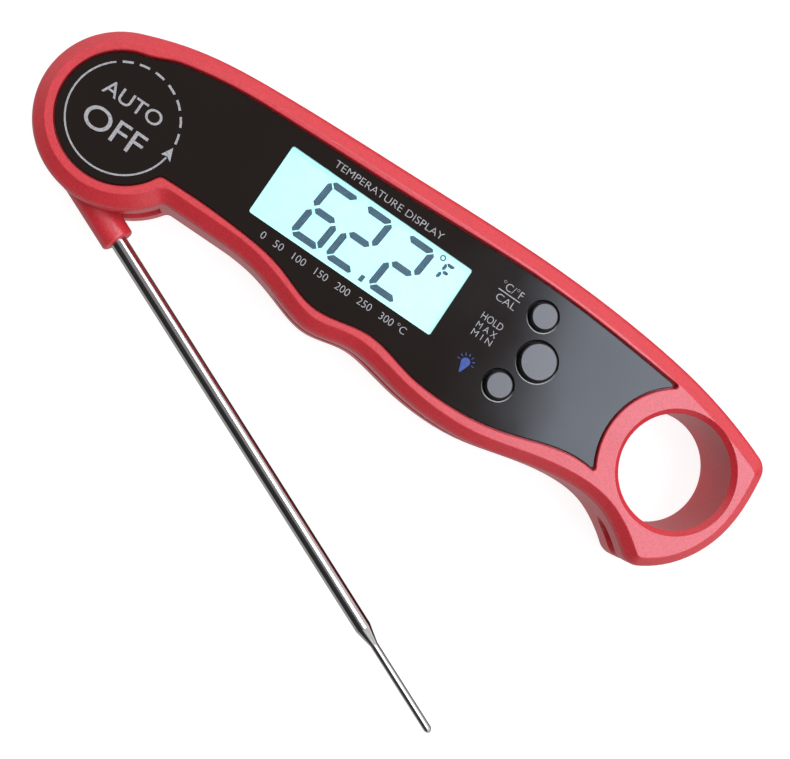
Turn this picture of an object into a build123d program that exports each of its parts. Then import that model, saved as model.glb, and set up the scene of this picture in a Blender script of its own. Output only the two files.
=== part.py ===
from build123d import *
import os
from math import cos, hypot, radians, sin

# Folding probe thermometer, millimetres.
# The handle lies on its back: +Z leaves the face, +X runs from the round pivot end to the ring,
# and +Y points at the long upper edge. The origin is on the pivot's axis, on the flat back.

FIT = 0.05                     # gap between pieces that sit against each other

# Handle
THICKNESS = 19.0
SPLIT = THICKNESS / 2          # the two shells meet here, on the probe's mid-plane
FRONT_BEVEL = (2.8, 2.4)       # front edge: how wide its bevel is, and how deep
BEVEL_TOP_ROUND, BEVEL_FOOT_ROUND = 0.4, 2.0
BACK_ROUND = 1.8
HUB_END_R = 17.6               # round end of the handle, about the pivot
SHOULDER_ANGLE = 112.0         # where the long upper edge leaves the round end
GRIP_START = 28.0
GRIP_Y = -9.2                  # straight edge of the finger recess
NECK_ROUND = 1.6
UPPER_CORNER = (148.5, 16.5)
LOWER_CORNER = (133.9, -17.2)
CORNER_ROUND = 4.0             # must exceed the width of FRONT_BEVEL, so that the bevels can meet

# Ring
RING = (131.73, 4.33)
RING_HOLE_R = 12.2
RING_FRONT_BEVEL = 1.05
RING_BACK_ROUND = 2.4

# Face plate, let into the front shell
PLATE_TOP = THICKNESS - 0.5
PLATE_THICK = 1.0
PLATE_HUB_R = 12.9
PLATE_SHOULDER_ANGLE = 102.0   # notch where the plate's long upper edge leaves its round end
PLATE_NECK_Y = -5.0
PLATE_NECK_ROUND = 1.5
PLATE_TIP_Y, PLATE_HEEL_Y = 19.05, -5.0
PLATE_TIP_ROUND = 0.5
PLATE_RING_R = 17.6            # hollow end of the plate, about the ring
PLATE_GAP = 0.3                # plate to the side of its recess
PLATE_EDGE = 0.15
RECESS_EDGE = 0.2
GLUE_THICK = 0.15
GLUE_INSET = 0.5
SEAT = PLATE_TOP - PLATE_THICK - GLUE_THICK
CEILING = SEAT - 1.3           # underside of the front shell's wall below the plate

# Display
WINDOW = (51.49, 6.78)
WINDOW_SIZE = (43.44, 15.81)
WINDOW_ROUND = 0.5
LCD_SIZE = (47.6, 20.6)
LCD_TOP = SEAT - FIT           # the glass fills an opening in the shell, right under the window
LCD_THICK = 1.7
BACKLIGHT_SIZE = (44.6, 15.4)
BACKLIGHT_THICK = 2.4
FRAME_WALL = 1.0
LED_SIZE = (1.3, 3.0, 1.6)
ZEBRA_SIZE = (46.0, 2.0)
ZEBRA_INSET = 1.2              # centre line of the strip from the display glass's lower edge

# Electronics bay inside the shells
BAY_CORNERS = [
    (20.6, -7.4), (37.0, -7.4), (49.0, -9.7), (99.0, -9.7), (108.0, -7.8), (112.6, -7.8),
    (112.6, 22.5), (88.0, 23.5), (52.0, 22.1), (20.6, 20.2),
]
BAY_ROUND = 1.5
FLOOR = 1.8
GASKET_INNER, GASKET_OUTER = 0.4, 1.2   # distances outside the bay
GASKET_THICK = 0.8

# Main board
BOARD_THICK = 1.0
BOARD_TOP = 10.3
BOARD_BOTTOM = BOARD_TOP - BOARD_THICK
BOARD_LEFT, BOARD_RIGHT = 27.0, 104.0
BOARD_LOW, BOARD_HIGH = -6.6, 19.2
TONGUE_LEFT = 21.7
TONGUE_LOW, TONGUE_HIGH = -0.4, 13.0

# Parts on the board's underside: place, then width, depth and height
CONTROLLER = ((90.0, 6.0), (7.0, 7.0, 1.4))
CRYSTAL = ((98.5, 1.5), (8.0, 3.2, 2.4))
CAPACITOR_AT, CAPACITOR_SIZE = (88.0, 15.5), (1.6, 3.2, 1.1)
CAPACITOR_COUNT, CAPACITOR_PITCH = 4, 3.2

# Reed switch on the board's tongue
REED_AT = (24.6, 4.6)
REED_R, REED_LENGTH, REED_LIFT = 0.95, 7.6, 1.0

# Push buttons: name, centre, cap radius
BUTTONS = [
    ("unit", (90.5, 15.15), 2.8),
    ("hold", (94.6, 6.8), 3.9),
    ("light", (90.45, -1.6), 2.8),
]
BUTTON_TOP = THICKNESS + 1.0
BUTTON_EDGE = 0.25
WELL_GAP = 0.5                 # cap to the edge of the face plate's hole
WELL_EDGE = 0.2
SHELL_GAP = 0.75               # cap to the edge of the front shell's hole
SEAL_GAP = 0.1                 # cap to its seal
FLANGE_EXTRA = 1.1
FLANGE_THICK = 1.1
STEM_R = 2.2
SWITCH_SIDE = 6.0
SWITCH_HEIGHT = 3.4
SWITCH_TOP = BOARD_TOP + SWITCH_HEIGHT
PLUNGER_R = 1.6
PLUNGER_TOP = SWITCH_TOP + 0.62
PLUNGER_DEPTH, PLUNGER_WELL = 0.6, 1.4

# Pivot
BOSS_R = 3.35
PROBE_OFFSET = 13.7            # the probe's line passes this far from the pivot's axis
HUB_R = PROBE_OFFSET + BOSS_R
HUB_BOTTOM, HUB_TOP = SPLIT - 3.25, SPLIT + 3.25
HUB_RIM_ROUND = 2.2
SLOT_BOTTOM, SLOT_TOP = SPLIT - 3.6, SPLIT + 3.6   # gap that the hub turns in
SLOT_R = HUB_R + 0.3
SLOT_REACH = 25.0
AXLE_R, AXLE_BORE_R = 4.0, 2.4
AXLE_SEAT = 1.4
AXLE_BOTTOM, AXLE_TOP = SLOT_BOTTOM - AXLE_SEAT, SLOT_TOP + AXLE_SEAT
AXLE_CUT_Y, AXLE_CUT_HALF = 0.9, 0.9    # opening in the axle's side that the leads swing in
BUSH_R = 5.2
WASHER_R, WASHER_THICK = 8.0, 0.25
SEAL_RING_R, SEAL_R = 10.2, 0.55
SEAL_PROUD = 0.3               # how far each sealing ring stands out of its groove
SEAL_DEPTH = 2 * SEAL_R - SEAL_PROUD + 0.02
STOP_R, STOP_PIN_R, STOP_HEIGHT = 13.4, 1.1, 1.3
STOP_GAP = 0.3
ARM_TRAVEL = 180.0             # from closed along the handle to pointing straight out of it
REST_OPENING = 24.1            # how far the probe stands open

# Arm and probe, given for the closed arm: the probe lies along +X
BOSS_END = 18.4
BOSS_END_ROUND = 0.6
TUBE_START = 4.5
TUBE_R, TUBE_WALL = 1.75, 0.25
TAPER_START, TAPER_END = 111.8, 116.1
TIP_R, PROBE_END = 0.85, 138.2
NOSE, BORE_NOSE = 1.4, 0.6     # lengths of the rounded ends of the tube and of its bore
TIP_WALL = 1.0                 # solid metal at the very tip
GROOVE_R = TUBE_R + 0.4        # groove in the handle that takes the folded probe
GROOVE_START, GROOVE_END = 16.0, PROBE_END + 1.0
MAGNET_AT_R, ARM_MAGNET_R, ARM_MAGNET_THICK = 13.0, 2.0, 2.0

# Leads
LEAD_R = 0.42
CHANNEL_R = 0.8
LEAD_BEND, LEAD_TURN = 3.4, 1.4
LEAD_Z = CEILING - CHANNEL_R - 0.1      # height at which the leads cross the round end
LEAD_JOIN = SLOT_TOP + 0.1              # the arm's leads meet the board's here, on the pivot's axis
LEAD_PAD = (23.9, 1.4)
BEAD_R, BEAD_LENGTH = 0.5, 1.95
BEAD_END = PROBE_END - TIP_WALL - 0.65

# Battery and its cover
BATTERY_AT = (57.0, 6.0)
BATTERY_R, BATTERY_THICK, BATTERY_EDGE = 10.0, 3.2, 0.3
COVER_R, COVER_NECK_R = 12.5, 11.4
COVER_BOTTOM, COVER_SHOULDER, COVER_TOP = 0.1, 1.15, 3.0
COVER_GAP = 0.15
COVER_EDGE = 0.3
LUG_R, LUG_ANGLE, LUG_COUNT = 12.3, 24.0, 3
LUG_BOTTOM, LUG_TOP = 2.1, 2.95
UNLOCK_TURN = 30.0
NOTCH_GAP = 0.1
COVER_SEAL_R = 0.31
COVER_SEAL_HALF = COVER_SEAL_R + 0.03   # half the width of its groove
COVER_SEAL_Z = COVER_SHOULDER + 0.45
WELL_R, WELL_TOP = 13.6, 6.0
COIN_SLOT = (13.0, 1.8, 0.7)
BATTERY_BOTTOM = COVER_TOP + 0.15
BATTERY_TOP = BATTERY_BOTTOM + BATTERY_THICK
CONTACT_THICK = 0.25
LEAF_REACH, LEAF_HALF = 5.0, 1.5        # leaf on the top of the cell
TAB_HALF, TAB_FOOT = 2.0, 2.2           # tab at the side of the cell

# Back magnets and screws
BACK_MAGNETS = [(30.6, 6.5), (83.0, 6.5)]
BACK_MAGNET_R, BACK_MAGNET_THICK = 4.0, 1.5
MAGNET_SINK = 0.1
HOUSING_SCREWS = [(23.4, 16.4), (23.4, -3.9), (108.6, 18.4), (108.2, -4.0)]
POST_R = 2.9
SCREW_R, SCREW_HEAD_R, SCREW_HEAD_THICK = 1.0, 1.9, 1.3
SCREW_SINK, SCREW_TOP = 0.2, 14.6
BOARD_SCREWS = [(81.0, 17.0), (81.0, -4.4)]
BOARD_POST_R = 2.2
BOARD_SCREW_R, BOARD_HEAD_R, BOARD_HEAD_THICK = 0.8, 1.6, 1.1
BOARD_SCREW_TOP = CEILING - 0.6
RECESS_WIDTH, RECESS_DEPTH = 0.5, 0.7

UP = (Align.CENTER, Align.CENTER, Align.MIN)


# Small tools

def rod(radius, bottom, top, at=(0, 0)):
    """Upright cylinder between two heights."""
    return Pos(at[0], at[1], bottom) * Cylinder(radius, top - bottom, align=UP)


def pipe(radius, bore, bottom, top, at=(0, 0)):
    """Upright tube between two heights."""
    return rod(radius, bottom, top, at) - rod(bore, bottom, top, at)


def block(left, right, low, high, bottom, top):
    """Box between six planes."""
    middle = Pos((left + right) / 2, (low + high) / 2, bottom)
    return middle * Box(right - left, high - low, top - bottom, align=UP)


def brick(at, size, bottom, top):
    """Box about a point, between two heights."""
    return Pos(at[0], at[1], bottom) * Box(size[0], size[1], top - bottom, align=UP)


def bar(radius, left, right, y, z):
    """Cylinder along X."""
    lying = Plane(origin=(left, y, z), z_dir=(1, 0, 0))
    return lying * Cylinder(radius, right - left, align=UP)


def slab(face, bottom, top):
    """Flat outline made solid between two heights."""
    return extrude(Pos(0, 0, bottom) * face, top - bottom, dir=(0, 0, 1))


def rounded(at, size, radius):
    """Rectangle with round corners."""
    return Pos(*at) * RectangleRounded(*size, radius)


def polar(radius, angle):
    """Point at a radius and an angle in degrees about the pivot."""
    return (radius * cos(radians(angle)), radius * sin(radians(angle)))


def cable(points, radii, radius):
    """Round lead along straight runs joined by arcs."""
    path = FilletPolyline(*points, radius=radii)
    return sweep(Plane(origin=path @ 0, z_dir=path % 0) * Circle(radius), path)


def level_edges(solid, height):
    """Edges that lie in one level plane."""
    return solid.edges().filter_by_position(Axis.Z, height - 0.01, height + 0.01)


def circles(edges, radius):
    """The round edges of one radius."""
    return [e for e in edges if e.geom_type == GeomType.CIRCLE and abs(e.radius - radius) < 0.01]


def nearest_corner(face, point):
    """Corner of a flat outline that is nearest a point."""
    return min(face.vertices(), key=lambda v: hypot(v.X - point[0], v.Y - point[1]))


# Outlines

def handle_outline():
    """Outer edge of the handle: long upper edge, ring end, finger bulges and recess, round end."""
    shoulder = polar(HUB_END_R, SHOULDER_ANGLE)
    neck = ((HUB_END_R**2 - GRIP_Y**2) ** 0.5, GRIP_Y)
    upper = Spline(
        shoulder, (-3.4, 17.6), (2.0, 19.4), (8.0, 20.8), (20.0, 22.3), (52.0, 24.2), (88.0, 25.6),
        (112.0, 24.6), (128.0, 22.5), (140.0, 19.5), UPPER_CORNER,
    )
    end = Spline(UPPER_CORNER, (149.25, 9.0), (148.35, -0.5), (145.9, -6.6), LOWER_CORNER)
    lower = Spline(
        LOWER_CORNER, (129.0, -13.5), (122.0, -10.3), (115.0, -9.8), (104.0, -11.65), (92.0, -14.45),
        (84.5, -15.0), (74.0, -14.15), (66.5, -12.7), (61.5, -12.3), (52.5, -13.95), (43.5, -11.9),
        (35.5, -9.75), (31.5, -9.3), (GRIP_START, GRIP_Y),
    )
    grip = Line((GRIP_START, GRIP_Y), neck)
    round_end = ThreePointArc(neck, (-HUB_END_R, 0), shoulder)
    outline = Face(Wire([upper, end, lower, grip, round_end]))
    return fillet(nearest_corner(outline, neck), NECK_ROUND)


def plate_outline(inset=0.0):
    """Edge of the face plate; inset draws it that much smaller."""
    hub_r = PLATE_HUB_R - inset
    ring_r = PLATE_RING_R + inset
    notch = polar(hub_r, PLATE_SHOULDER_ANGLE)
    neck = ((hub_r**2 - (PLATE_NECK_Y + inset) ** 2) ** 0.5, PLATE_NECK_Y + inset)
    tip = beside_ring(ring_r, PLATE_TIP_Y - inset)
    heel = beside_ring(ring_r, PLATE_HEEL_Y + inset)
    above = [
        (-1.1, 13.3), (2.1, 14.8), (5.0, 15.6), (11.0, 16.8), (25.0, 18.1), (55.0, 19.5),
        (89.0, 21.05), (107.0, 20.3),
    ]
    below = [
        (107.0, -5.6), (99.0, -8.1), (91.0, -10.0), (83.0, -10.6), (74.0, -9.9), (63.0, -7.85),
        (51.0, -9.6), (41.0, -6.7), (31.0, -5.2), (21.0, -4.8),
    ]
    upper = Spline(notch, *[(x, y - inset) for x, y in above], tip)
    lower = Spline(heel, *[(x, y + inset) for x, y in below], neck)
    hollow = ThreePointArc(tip, (RING[0] - ring_r, RING[1]), heel)
    round_end = ThreePointArc(neck, (-hub_r, 0), notch)
    outline = Face(Wire([upper, hollow, lower, round_end]))
    outline = fillet(nearest_corner(outline, neck), PLATE_NECK_ROUND)
    for corner in (tip, heel):
        outline = fillet(nearest_corner(outline, corner), PLATE_TIP_ROUND)
    return outline


def beside_ring(radius, y):
    """Point at a height on a circle about the ring, on the side of the plate."""
    return (RING[0] - (radius**2 - (y - RING[1]) ** 2) ** 0.5, y)


def bay_outline():
    """Inside of the electronics bay."""
    bay = make_face(Polyline(*BAY_CORNERS, close=True))
    return fillet(bay.vertices(), BAY_ROUND)


# Handle

def handle_block():
    """The handle as one rounded block with its ring hole, before it is split and hollowed."""
    body = slab(handle_outline(), 0, THICKNESS)
    upright = body.edges().filter_by(Axis.Z)
    corners = [
        min(upright, key=lambda e: hypot(e.center().X - x, e.center().Y - y))
        for x, y in (UPPER_CORNER, LOWER_CORNER)
    ]
    body = fillet(corners, CORNER_ROUND)
    body = bevel_front(body)
    body = fillet(level_edges(body, 0), BACK_ROUND)
    body -= rod(RING_HOLE_R, 0, THICKNESS, RING)
    body = chamfer(circles(level_edges(body, THICKNESS), RING_HOLE_R), RING_FRONT_BEVEL)
    return fillet(circles(level_edges(body, 0), RING_HOLE_R), RING_BACK_ROUND)


def bevel_front(body):
    """Cuts the bevel round the front face and softens both its edges."""
    width, depth = FRONT_BEVEL
    front = body.faces().sort_by(Axis.Z)[-1]
    body = chamfer(front.edges(), width, depth, reference=front)
    body = fillet(level_edges(body, THICKNESS - depth), BEVEL_FOOT_ROUND)
    return fillet(level_edges(body, THICKNESS), BEVEL_TOP_ROUND)


def hub_slot():
    """Gap for the arm's hub, open to the outside wherever the boss swings."""
    side = -(PROBE_OFFSET - BOSS_R) + 0.4
    slot = rod(SLOT_R, SLOT_BOTTOM, SLOT_TOP)
    slot += block(-SLOT_REACH, -0.5, -SLOT_REACH, SLOT_REACH, SLOT_BOTTOM, SLOT_TOP)
    return slot + block(-1.0, BOSS_END + 1, -SLOT_REACH, side, SLOT_BOTTOM, SLOT_TOP)


def probe_groove():
    """Groove along the lower edge that the folded probe lies in."""
    groove = bar(GROOVE_R, GROOVE_START, GROOVE_END, -PROBE_OFFSET, SPLIT)
    mouth = block(GROOVE_START, GROOVE_END, -SLOT_REACH, -PROBE_OFFSET,
                  SPLIT - GROOVE_R, SPLIT + GROOVE_R)
    return groove + mouth


def seal_groove(face_z, depth):
    """Ring groove in a slot face; depth is negative downwards."""
    width = SEAL_R + 0.1
    low, high = sorted((face_z, face_z + depth))
    return pipe(SEAL_RING_R + width, SEAL_RING_R - width, low, high)


def recess_rim(shell):
    """Edges of the front face round the face plate's recess."""
    around = Pos(0, 0, THICKNESS) * plate_outline(-PLATE_GAP).wire()
    return [e for e in level_edges(shell, THICKNESS) if around.distance_to(e @ 0.5) < 0.01]


def front_shell(block_of_handle):
    """Upper half of the handle, with the plate's recess, the window and the button holes."""
    shell = block_of_handle & block(-50, 200, -50, 50, SPLIT, THICKNESS)
    shell -= slab(plate_outline(-PLATE_GAP), SEAT, THICKNESS)
    shell = chamfer(recess_rim(shell), RECESS_EDGE)
    shell -= slab(bay_outline(), SPLIT, CEILING)
    shell -= hub_slot()
    shell -= probe_groove()
    shell -= window_box((LCD_SIZE[0] + 2 * FIT, LCD_SIZE[1] + 2 * FIT), CEILING, SEAT)
    for _, at, cap_r in BUTTONS:
        shell -= rod(cap_r + SHELL_GAP, CEILING, SEAT, at)
    shell -= rod(AXLE_R, SLOT_TOP, AXLE_TOP)
    shell -= rod(AXLE_BORE_R, AXLE_TOP, LEAD_Z + CHANNEL_R)
    shell -= lead_channel()
    shell -= seal_groove(SLOT_TOP, SEAL_DEPTH)
    for at in HOUSING_SCREWS:
        shell += rod(POST_R, SPLIT, CEILING, at)
        shell -= rod(SCREW_R + FIT, SPLIT, SCREW_TOP + 0.3, at)
    for at in BOARD_SCREWS:
        shell += rod(BOARD_POST_R, BOARD_TOP, CEILING, at)
        shell -= rod(BOARD_SCREW_R + FIT, BOARD_TOP, CEILING, at)
    return shell


def lead_channel():
    """Way for the board's leads from the pivot to the bay."""
    length = hypot(*LEAD_PAD)
    toward = Plane(origin=(0, 0, LEAD_Z), z_dir=(LEAD_PAD[0], LEAD_PAD[1], 0))
    return toward * Cylinder(CHANNEL_R, length, align=UP)


def rear_shell(block_of_handle):
    """Lower half of the handle, with the battery well, the magnet seats and the stop pin."""
    shell = block_of_handle & block(-50, 200, -50, 50, 0, SPLIT)
    shell -= slab(bay_outline(), FLOOR, SPLIT)
    shell -= hub_slot()
    shell -= probe_groove()
    shell -= gasket(FIT)
    shell -= rod(AXLE_R, AXLE_BOTTOM, SLOT_BOTTOM)
    shell -= seal_groove(SLOT_BOTTOM, -SEAL_DEPTH)
    shell += rod(STOP_PIN_R, SLOT_BOTTOM, SLOT_BOTTOM + STOP_HEIGHT, (STOP_R, 0))
    for at in BACK_MAGNETS:
        shell += rod(BACK_MAGNET_R + 1.2, FLOOR, BACK_MAGNET_THICK + 1.3, at)
        shell -= rod(BACK_MAGNET_R + FIT, 0, BACK_MAGNET_THICK + MAGNET_SINK + FIT, at)
    for at in HOUSING_SCREWS:
        shell += rod(POST_R, FLOOR, SPLIT, at)
        shell -= rod(SCREW_HEAD_R + 0.2, 0, SCREW_SINK + SCREW_HEAD_THICK, at)
        shell -= rod(SCREW_R + 0.15, 0, SPLIT, at)
    return battery_well(shell)


def battery_well(shell):
    """Cuts the round battery well with its bayonet groove into the back."""
    neck_r = COVER_NECK_R + COVER_GAP
    groove_r = LUG_R + COVER_GAP
    shell += rod(WELL_R, FLOOR, WELL_TOP, BATTERY_AT)
    shell -= rod(COVER_R + COVER_GAP, 0, COVER_SHOULDER + FIT, BATTERY_AT)
    shell -= rod(neck_r, 0, WELL_TOP, BATTERY_AT)
    shell -= rod(groove_r, LUG_BOTTOM - 0.1, LUG_TOP + 0.15, BATTERY_AT)
    for wedge in lug_wedges(-UNLOCK_TURN, LUG_ANGLE + 4, LUG_R + NOTCH_GAP):
        shell -= slab(wedge, COVER_SHOULDER, LUG_BOTTOM)
    return shell


def lug_wedges(turned, angle, reach):
    """Flat sectors about the battery's centre, one for each bayonet lug."""
    sectors = []
    for i in range(LUG_COUNT):
        middle = 90 + turned + i * 360 / LUG_COUNT
        start = polar(reach, middle - angle / 2)
        finish = polar(reach, middle + angle / 2)
        arc = ThreePointArc(start, polar(reach, middle), finish)
        sides = [Line((0, 0), start), arc, Line(finish, (0, 0))]
        sectors.append(Pos(*BATTERY_AT) * Face(Wire(sides)))
    return sectors


def gasket(extra=0.0):
    """Rubber seal between the shells, round the bay; extra widens it for its groove."""
    outer = offset(bay_outline(), GASKET_OUTER + extra)
    inner = offset(bay_outline(), GASKET_INNER - extra)
    bottom = SPLIT - GASKET_THICK - extra
    return slab(outer, bottom, SPLIT) - slab(inner, bottom, SPLIT)


# Face plate and buttons

def face_plate():
    """Glossy plate with a hole for the window and each button."""
    plate = slab(plate_outline(), SEAT + GLUE_THICK, PLATE_TOP)
    plate = chamfer(level_edges(plate, PLATE_TOP), PLATE_EDGE)
    plate -= slab(rounded(WINDOW, WINDOW_SIZE, WINDOW_ROUND), SEAT, THICKNESS)
    for _, at, cap_r in BUTTONS:
        plate -= rod(cap_r + WELL_GAP, SEAT, THICKNESS, at)
        plate = chamfer(circles(level_edges(plate, PLATE_TOP), cap_r + WELL_GAP), WELL_EDGE)
    return plate


def plate_glue():
    """Thin adhesive sheet under the face plate."""
    sheet = slab(plate_outline(GLUE_INSET), SEAT, SEAT + GLUE_THICK)
    opening = (WINDOW_SIZE[0] + 1, WINDOW_SIZE[1] + 1)
    sheet -= slab(rounded(WINDOW, opening, WINDOW_ROUND), SEAT, THICKNESS)
    for _, at, cap_r in BUTTONS:
        sheet -= rod(cap_r + SHELL_GAP, SEAT, THICKNESS, at)
    return sheet


def display_window():
    """Clear pane flush in the face plate."""
    size = (WINDOW_SIZE[0] - FIT, WINDOW_SIZE[1] - FIT)
    return slab(rounded(WINDOW, size, WINDOW_ROUND), SEAT + GLUE_THICK, PLATE_TOP - FIT)


def button_cap(at, cap_r):
    """Round cap with a flange that keeps it under the front shell."""
    cap = rod(cap_r, CEILING - FIT, BUTTON_TOP, at)
    cap = chamfer(level_edges(cap, BUTTON_TOP), BUTTON_EDGE)
    flange_bottom = CEILING - FIT - FLANGE_THICK
    cap += rod(cap_r + FLANGE_EXTRA, flange_bottom, CEILING - FIT, at)
    return cap + rod(STEM_R, PLUNGER_TOP, flange_bottom, at)


def button_seal(at, cap_r):
    """Soft ring at the bottom of a button's well."""
    return pipe(cap_r + SHELL_GAP, cap_r + SEAL_GAP, CEILING, SEAT - FIT, at)


def tact_switch(at):
    """Square switch body with a well for its plunger."""
    body = brick(at, (SWITCH_SIDE, SWITCH_SIDE), BOARD_TOP, SWITCH_TOP)
    return body - rod(PLUNGER_R + 0.1, SWITCH_TOP - PLUNGER_WELL, SWITCH_TOP, at)


def switch_plunger(at):
    return rod(PLUNGER_R, SWITCH_TOP - PLUNGER_DEPTH, PLUNGER_TOP, at)


# Display

def window_box(size, bottom, top):
    """Box centred on the window."""
    return brick(WINDOW, size, bottom, top)


def lcd_glass():
    return window_box(LCD_SIZE, LCD_TOP - LCD_THICK, LCD_TOP)


def backlight_panel():
    """Diffusing block behind the display glass."""
    top = LCD_TOP - LCD_THICK - FIT
    return window_box(BACKLIGHT_SIZE, top - BACKLIGHT_THICK, top)


def led_at():
    right = WINDOW[0] + BACKLIGHT_SIZE[0] / 2
    return (right + LED_SIZE[0] / 2 + FIT, WINDOW[1])


def led_block(extra=0.0):
    middle = LCD_TOP - LCD_THICK - BACKLIGHT_THICK / 2
    size = (LED_SIZE[0] + extra, LED_SIZE[1] + extra)
    return brick(led_at(), size, middle - LED_SIZE[2] / 2, middle + LED_SIZE[2] / 2 + extra)


def zebra_block(extra=0.0):
    """Striped rubber connector from the board up to the display glass's lower edge."""
    at = (WINDOW[0], WINDOW[1] - LCD_SIZE[1] / 2 + ZEBRA_INSET)
    size = (ZEBRA_SIZE[0] + extra, ZEBRA_SIZE[1] + extra)
    return brick(at, size, BOARD_TOP, LCD_TOP - LCD_THICK)


def lcd_frame():
    """Plastic frame that holds the glass, the backlight and the connector together."""
    wall = 2 * (FRAME_WALL + FIT)
    size = (LCD_SIZE[0] + wall, LCD_SIZE[1] + wall)
    ledge = LCD_TOP - LCD_THICK
    frame = window_box(size, BOARD_TOP, CEILING - FIT)
    frame -= window_box((LCD_SIZE[0] + FIT, LCD_SIZE[1] + FIT), ledge, LCD_TOP)
    pocket = (BACKLIGHT_SIZE[0] + FIT, BACKLIGHT_SIZE[1] + FIT)
    frame -= window_box(pocket, ledge - BACKLIGHT_THICK - 2 * FIT, ledge)
    frame -= led_block(2 * FIT)
    frame -= block(led_at()[0] - 1, led_at()[0] + 0.5, WINDOW[1] - 1, WINDOW[1] + 1, ledge - 1, ledge)
    return frame - zebra_block(2 * FIT)


# Board and what is on it

def main_board():
    """Circuit board with a tongue towards the pivot."""
    board = block(BOARD_LEFT, BOARD_RIGHT, BOARD_LOW, BOARD_HIGH, BOARD_BOTTOM, BOARD_TOP)
    board += block(TONGUE_LEFT, BOARD_LEFT, TONGUE_LOW, TONGUE_HIGH, BOARD_BOTTOM, BOARD_TOP)
    for at in BOARD_SCREWS:
        board -= rod(BOARD_SCREW_R + 0.2, BOARD_BOTTOM, BOARD_TOP, at)
    return board


def under_board(at, size):
    """Component on the board's underside: width, depth and height."""
    return brick(at, size[:2], BOARD_BOTTOM - size[2], BOARD_BOTTOM)


def board_capacitors():
    """Row of small chip capacitors beside the controller."""
    x, y = CAPACITOR_AT
    return [under_board((x + CAPACITOR_PITCH * i, y), CAPACITOR_SIZE) for i in range(CAPACITOR_COUNT)]


def reed_switch():
    """Glass reed that feels the arm's magnet, on the board's tongue."""
    lying = Plane(origin=(*REED_AT, BOARD_TOP + REED_LIFT), z_dir=(0, 1, 0))
    return lying * Cylinder(REED_R, REED_LENGTH, align=UP)


def screw(at, bottom, top, shaft_r, head_r, head_thick):
    """Round-headed screw, head down, with a cross recess."""
    body = rod(head_r, bottom, bottom + head_thick, at) + rod(shaft_r, bottom, top, at)
    for size in ((head_r * 1.3, RECESS_WIDTH), (RECESS_WIDTH, head_r * 1.3)):
        body -= brick(at, size, bottom, bottom + RECESS_DEPTH)
    return body


def housing_screws():
    sizes = (SCREW_R, SCREW_HEAD_R, SCREW_HEAD_THICK)
    return [screw(at, SCREW_SINK, SCREW_TOP, *sizes) for at in HOUSING_SCREWS]


def board_screws():
    bottom = BOARD_BOTTOM - BOARD_HEAD_THICK
    sizes = (BOARD_SCREW_R, BOARD_HEAD_R, BOARD_HEAD_THICK)
    return [screw(at, bottom, BOARD_SCREW_TOP, *sizes) for at in BOARD_SCREWS]


# Battery

def battery():
    cell = rod(BATTERY_R, BATTERY_BOTTOM, BATTERY_TOP, BATTERY_AT)
    return chamfer(circles(cell.edges(), BATTERY_R), BATTERY_EDGE)


def contact_negative():
    """Leaf that presses on the top of the cell, bent down from the board."""
    x, y = BATTERY_AT
    low = BATTERY_TOP + FIT
    bend = x + LEAF_REACH
    leaf = block(x - LEAF_REACH, bend, y - LEAF_HALF, y + LEAF_HALF, low, low + CONTACT_THICK)
    return leaf + block(bend, bend + CONTACT_THICK, y - LEAF_HALF, y + LEAF_HALF, low, BOARD_BOTTOM)


def contact_positive():
    """Leaf that presses on the side of the cell."""
    x, y = BATTERY_AT
    side = x + BATTERY_R + FIT
    low, high = y - TAB_HALF, y + TAB_HALF
    tab = block(side, side + CONTACT_THICK, low, high, BATTERY_BOTTOM + BATTERY_EDGE, BOARD_BOTTOM)
    return tab + block(side, side + TAB_FOOT, low, high, BOARD_BOTTOM - CONTACT_THICK, BOARD_BOTTOM)


def battery_cover():
    """Round cover with a coin slot, three bayonet lugs and a groove for its seal."""
    cover = rod(COVER_R, COVER_BOTTOM, COVER_SHOULDER, BATTERY_AT)
    cover = chamfer(level_edges(cover, COVER_BOTTOM), COVER_EDGE)
    cover += rod(COVER_NECK_R, COVER_BOTTOM, COVER_TOP, BATTERY_AT)
    for wedge in lug_wedges(0, LUG_ANGLE, LUG_R):
        cover += slab(wedge, LUG_BOTTOM, LUG_TOP)
    width, depth, sink = COIN_SLOT
    cover -= brick(BATTERY_AT, (width, depth), COVER_BOTTOM, COVER_BOTTOM + sink)
    groove_r = COVER_NECK_R + COVER_GAP - FIT - 2 * COVER_SEAL_R
    low, high = COVER_SEAL_Z - COVER_SEAL_HALF, COVER_SEAL_Z + COVER_SEAL_HALF
    return cover - pipe(COVER_NECK_R + 0.2, groove_r, low, high, BATTERY_AT)


def cover_seal():
    """O-ring round the cover's neck."""
    ring_r = COVER_NECK_R + COVER_GAP - FIT - COVER_SEAL_R
    return Pos(*BATTERY_AT, COVER_SEAL_Z) * Torus(ring_r, COVER_SEAL_R)


def back_magnets():
    return [rod(BACK_MAGNET_R, MAGNET_SINK, MAGNET_SINK + BACK_MAGNET_THICK, at) for at in BACK_MAGNETS]


# Pivot

def pivot_axle():
    """Hollow axle held in both shells, open on the side that the leads swing past."""
    axle = pipe(AXLE_R, AXLE_BORE_R, AXLE_BOTTOM, AXLE_TOP)
    return axle - block(-AXLE_R - 1, AXLE_CUT_Y, -AXLE_R - 1, AXLE_R + 1,
                        SPLIT - AXLE_CUT_HALF, SPLIT + AXLE_CUT_HALF)


def pivot_washers():
    """Thin washers that drag on both faces of the hub and hold the arm where it is put."""
    below = (SLOT_BOTTOM + HUB_BOTTOM) / 2
    above = (SLOT_TOP + HUB_TOP) / 2
    half = WASHER_THICK / 2
    return [pipe(WASHER_R, AXLE_R + 0.1, z - half, z + half) for z in (below, above)]


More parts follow.
